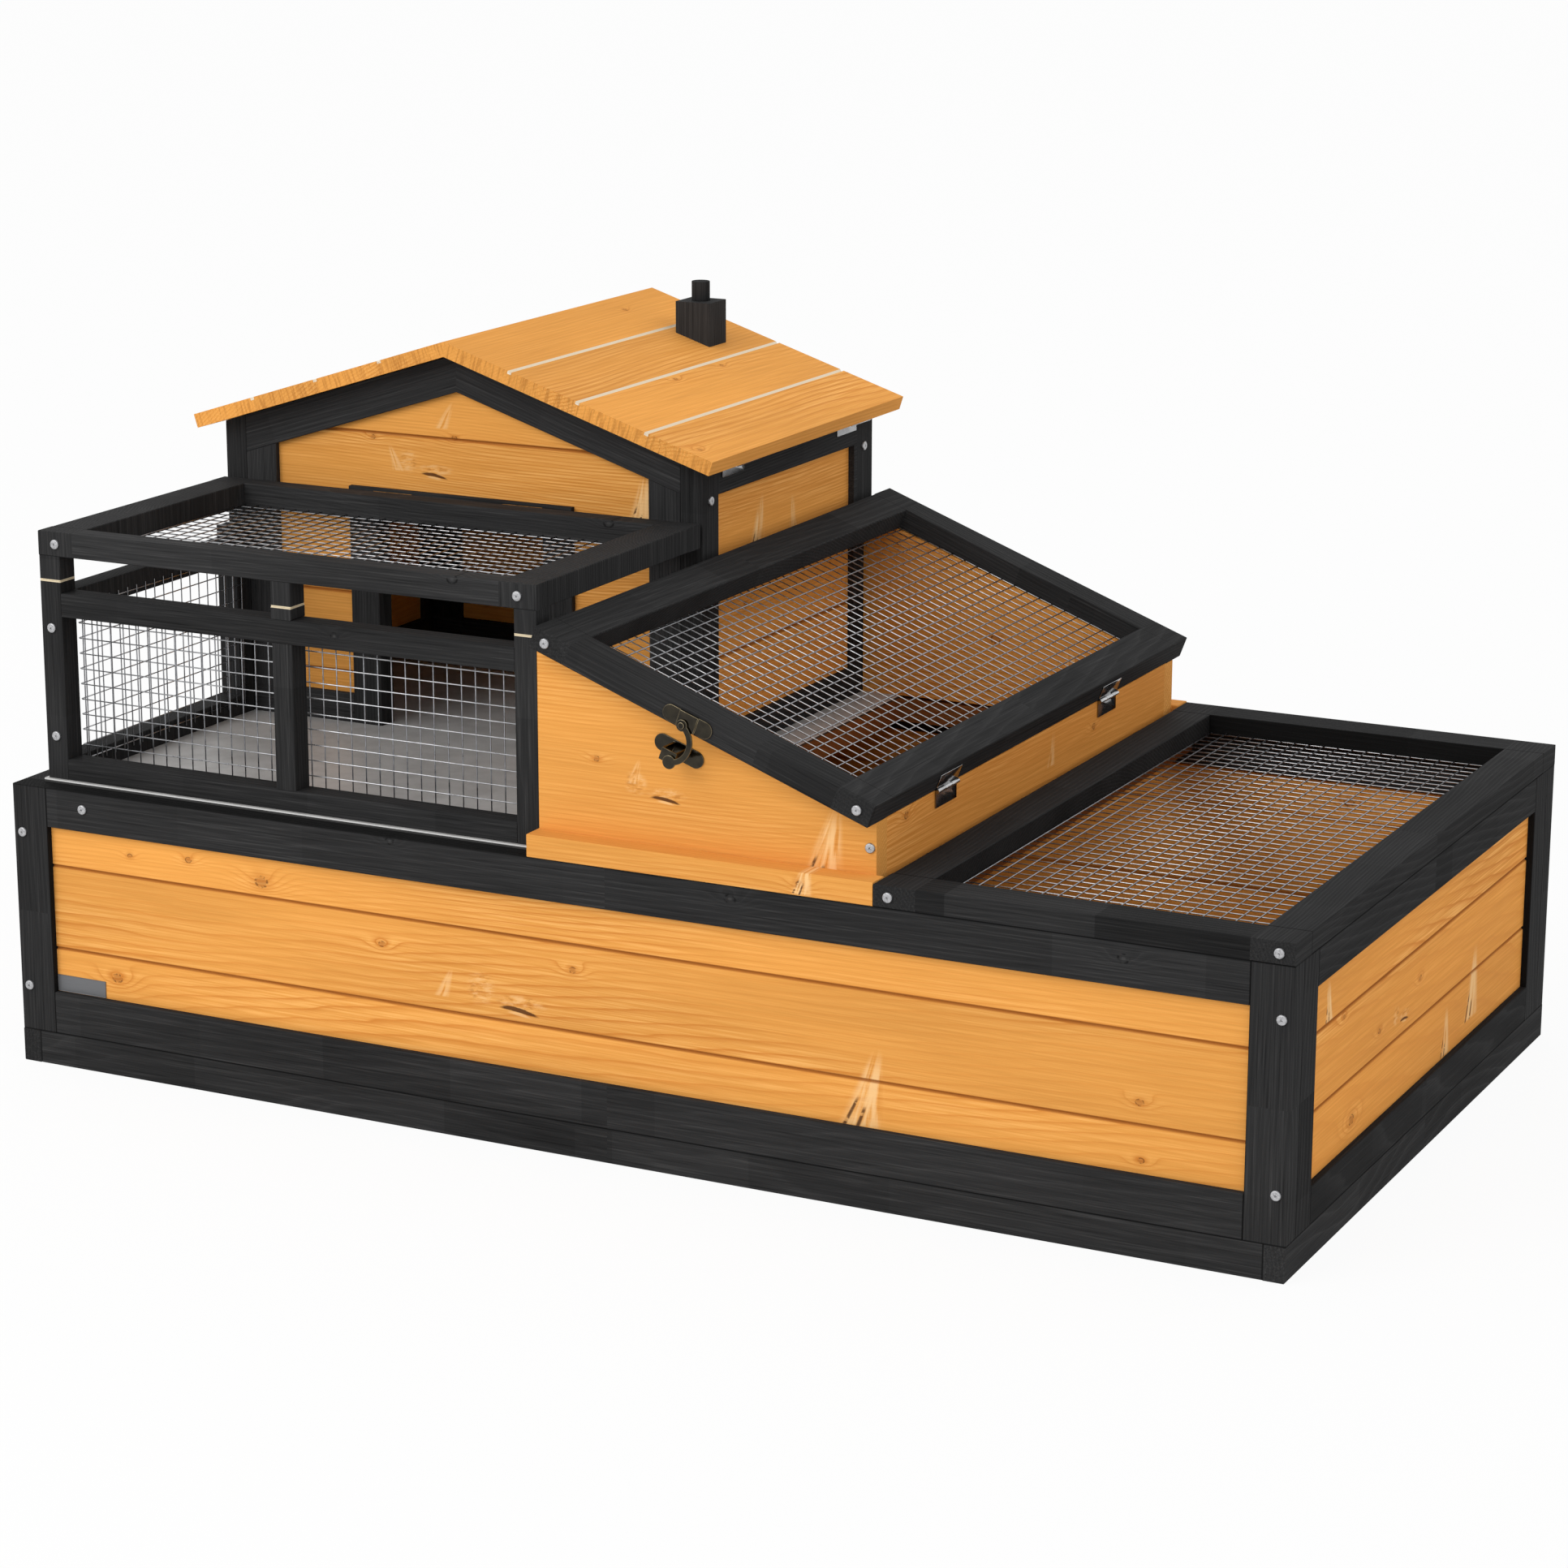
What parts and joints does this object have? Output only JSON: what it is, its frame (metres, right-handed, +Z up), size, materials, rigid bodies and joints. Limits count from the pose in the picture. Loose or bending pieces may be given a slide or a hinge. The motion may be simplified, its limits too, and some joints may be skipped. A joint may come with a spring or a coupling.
{
  "type": "tortoise enclosure",
  "caption": "Two-storey wooden tortoise enclosure: framed base run, balcony and gabled house, with a hinged roof, three mesh lids and a swing-hook latch.",
  "frame": {"origin": "on the ground, under the middle of the bounding box", "axes": "+X to the right along the length, from the house end to the open run; +Y to the back; +Z up"},
  "size_m": [1.104, 0.6384, 0.601],
  "materials": {
    "black_timber": "black stain, satin",
    "honey_timber": "honey stain, satin",
    "inner_timber": "thin brown stain",
    "floor_sheet": "matt pale grey",
    "mesh_wire": "galvanised",
    "hinge_steel": "plated",
    "screw_zinc": "zinc",
    "latch_bronze": "antique bronze"
  },
  "bodies": {
    "base": {"back_ledge": "honey_timber", "back_wall_boards": "honey_timber", "back_wall_frame": "black_timber", "balcony_front_mesh": "mesh_wire", "balcony_posts": "black_timber", "balcony_rails": "black_timber", "balcony_side_mesh": "mesh_wire", "base_floor": "inner_timber", "base_screws": "screw_zinc", "door_frame": "black_timber", "fixed_hinge_leaves": "hinge_steel", "floor_battens": "inner_timber", "floor_bearers": "inner_timber", "front_ledge": "honey_timber", "front_wall_boards": "honey_timber", "front_wall_frame": "black_timber", "gable_boards": "honey_timber", "gable_frame": "black_timber", "ground_frame": "black_timber", "house_back_boards": "honey_timber", "house_back_frame": "black_timber", "house_left_boards": "honey_timber", "house_left_frame": "black_timber", "house_right_boards": "honey_timber", "house_right_frame": "black_timber", "latch_keeper": "latch_bronze", "left_wall_boards": "honey_timber", "left_wall_frame": "black_timber", "middle_back_panel": "honey_timber", "middle_end_wall": "honey_timber", "middle_front_panel": "honey_timber", "ramp_board": "inner_timber", "ramp_cleats": "inner_timber", "right_wall_boards": "honey_timber", "right_wall_frame": "black_timber", "upper_floor": "floor_sheet"},
    "roof": {"roof_left_boards": "honey_timber", "roof_right_boards": "honey_timber", "roof_battens": "inner_timber", "chimney_block": "black_timber", "chimney_pot": "black_timber", "roof_hinge_leaves": "hinge_steel"},
    "balcony_lid": {"balcony_lid_rails": "black_timber", "balcony_lid_legs": "black_timber", "balcony_lid_mesh": "mesh_wire", "balcony_lid_hinge_leaves": "hinge_steel", "balcony_lid_screws": "screw_zinc"},
    "sloped_lid": {"sloped_lid_rails": "black_timber", "sloped_lid_mesh": "mesh_wire", "sloped_lid_hinge_leaves": "hinge_steel", "sloped_lid_screws": "screw_zinc", "latch_plate": "latch_bronze", "latch_rivet": "latch_bronze"},
    "flat_lid": {"flat_lid_rails": "black_timber", "flat_lid_mesh": "mesh_wire", "flat_lid_hinge_leaves": "hinge_steel", "flat_lid_screws": "screw_zinc"},
    "hook": {"latch_hook": "latch_bronze"}
  },
  "joints": [
    {"name": "roof_hinge", "type": "hinge", "parent": "base", "child": "roof", "pos_m": [-0.066, 0, 0.49086], "axis": [0, 1, 0], "range_deg": [0, 70]},
    {"name": "balcony_lid_hinge", "type": "hinge", "parent": "base", "child": "balcony_lid", "pos_m": [-0.299, -0.0288, 0.4431], "axis": [-1, 0, 0], "range_deg": [0, 60]},
    {"name": "sloped_lid_hinge", "type": "hinge", "parent": "base", "child": "sloped_lid", "pos_m": [0.2202, 0, 0.29464], "axis": [0, 1, 0], "range_deg": [0, 160]},
    {"name": "flat_lid_hinge", "type": "hinge", "parent": "base", "child": "flat_lid", "pos_m": [0.3885, 0.3172, 0.237], "axis": [-1, 0, 0], "range_deg": [0, 180]},
    {"name": "latch_pivot", "type": "hinge", "parent": "sloped_lid", "child": "hook", "pos_m": [0.06722, -0.3162, 0.35604], "axis": [0, -1, 0], "range_deg": [0, 90]}
  ]
}
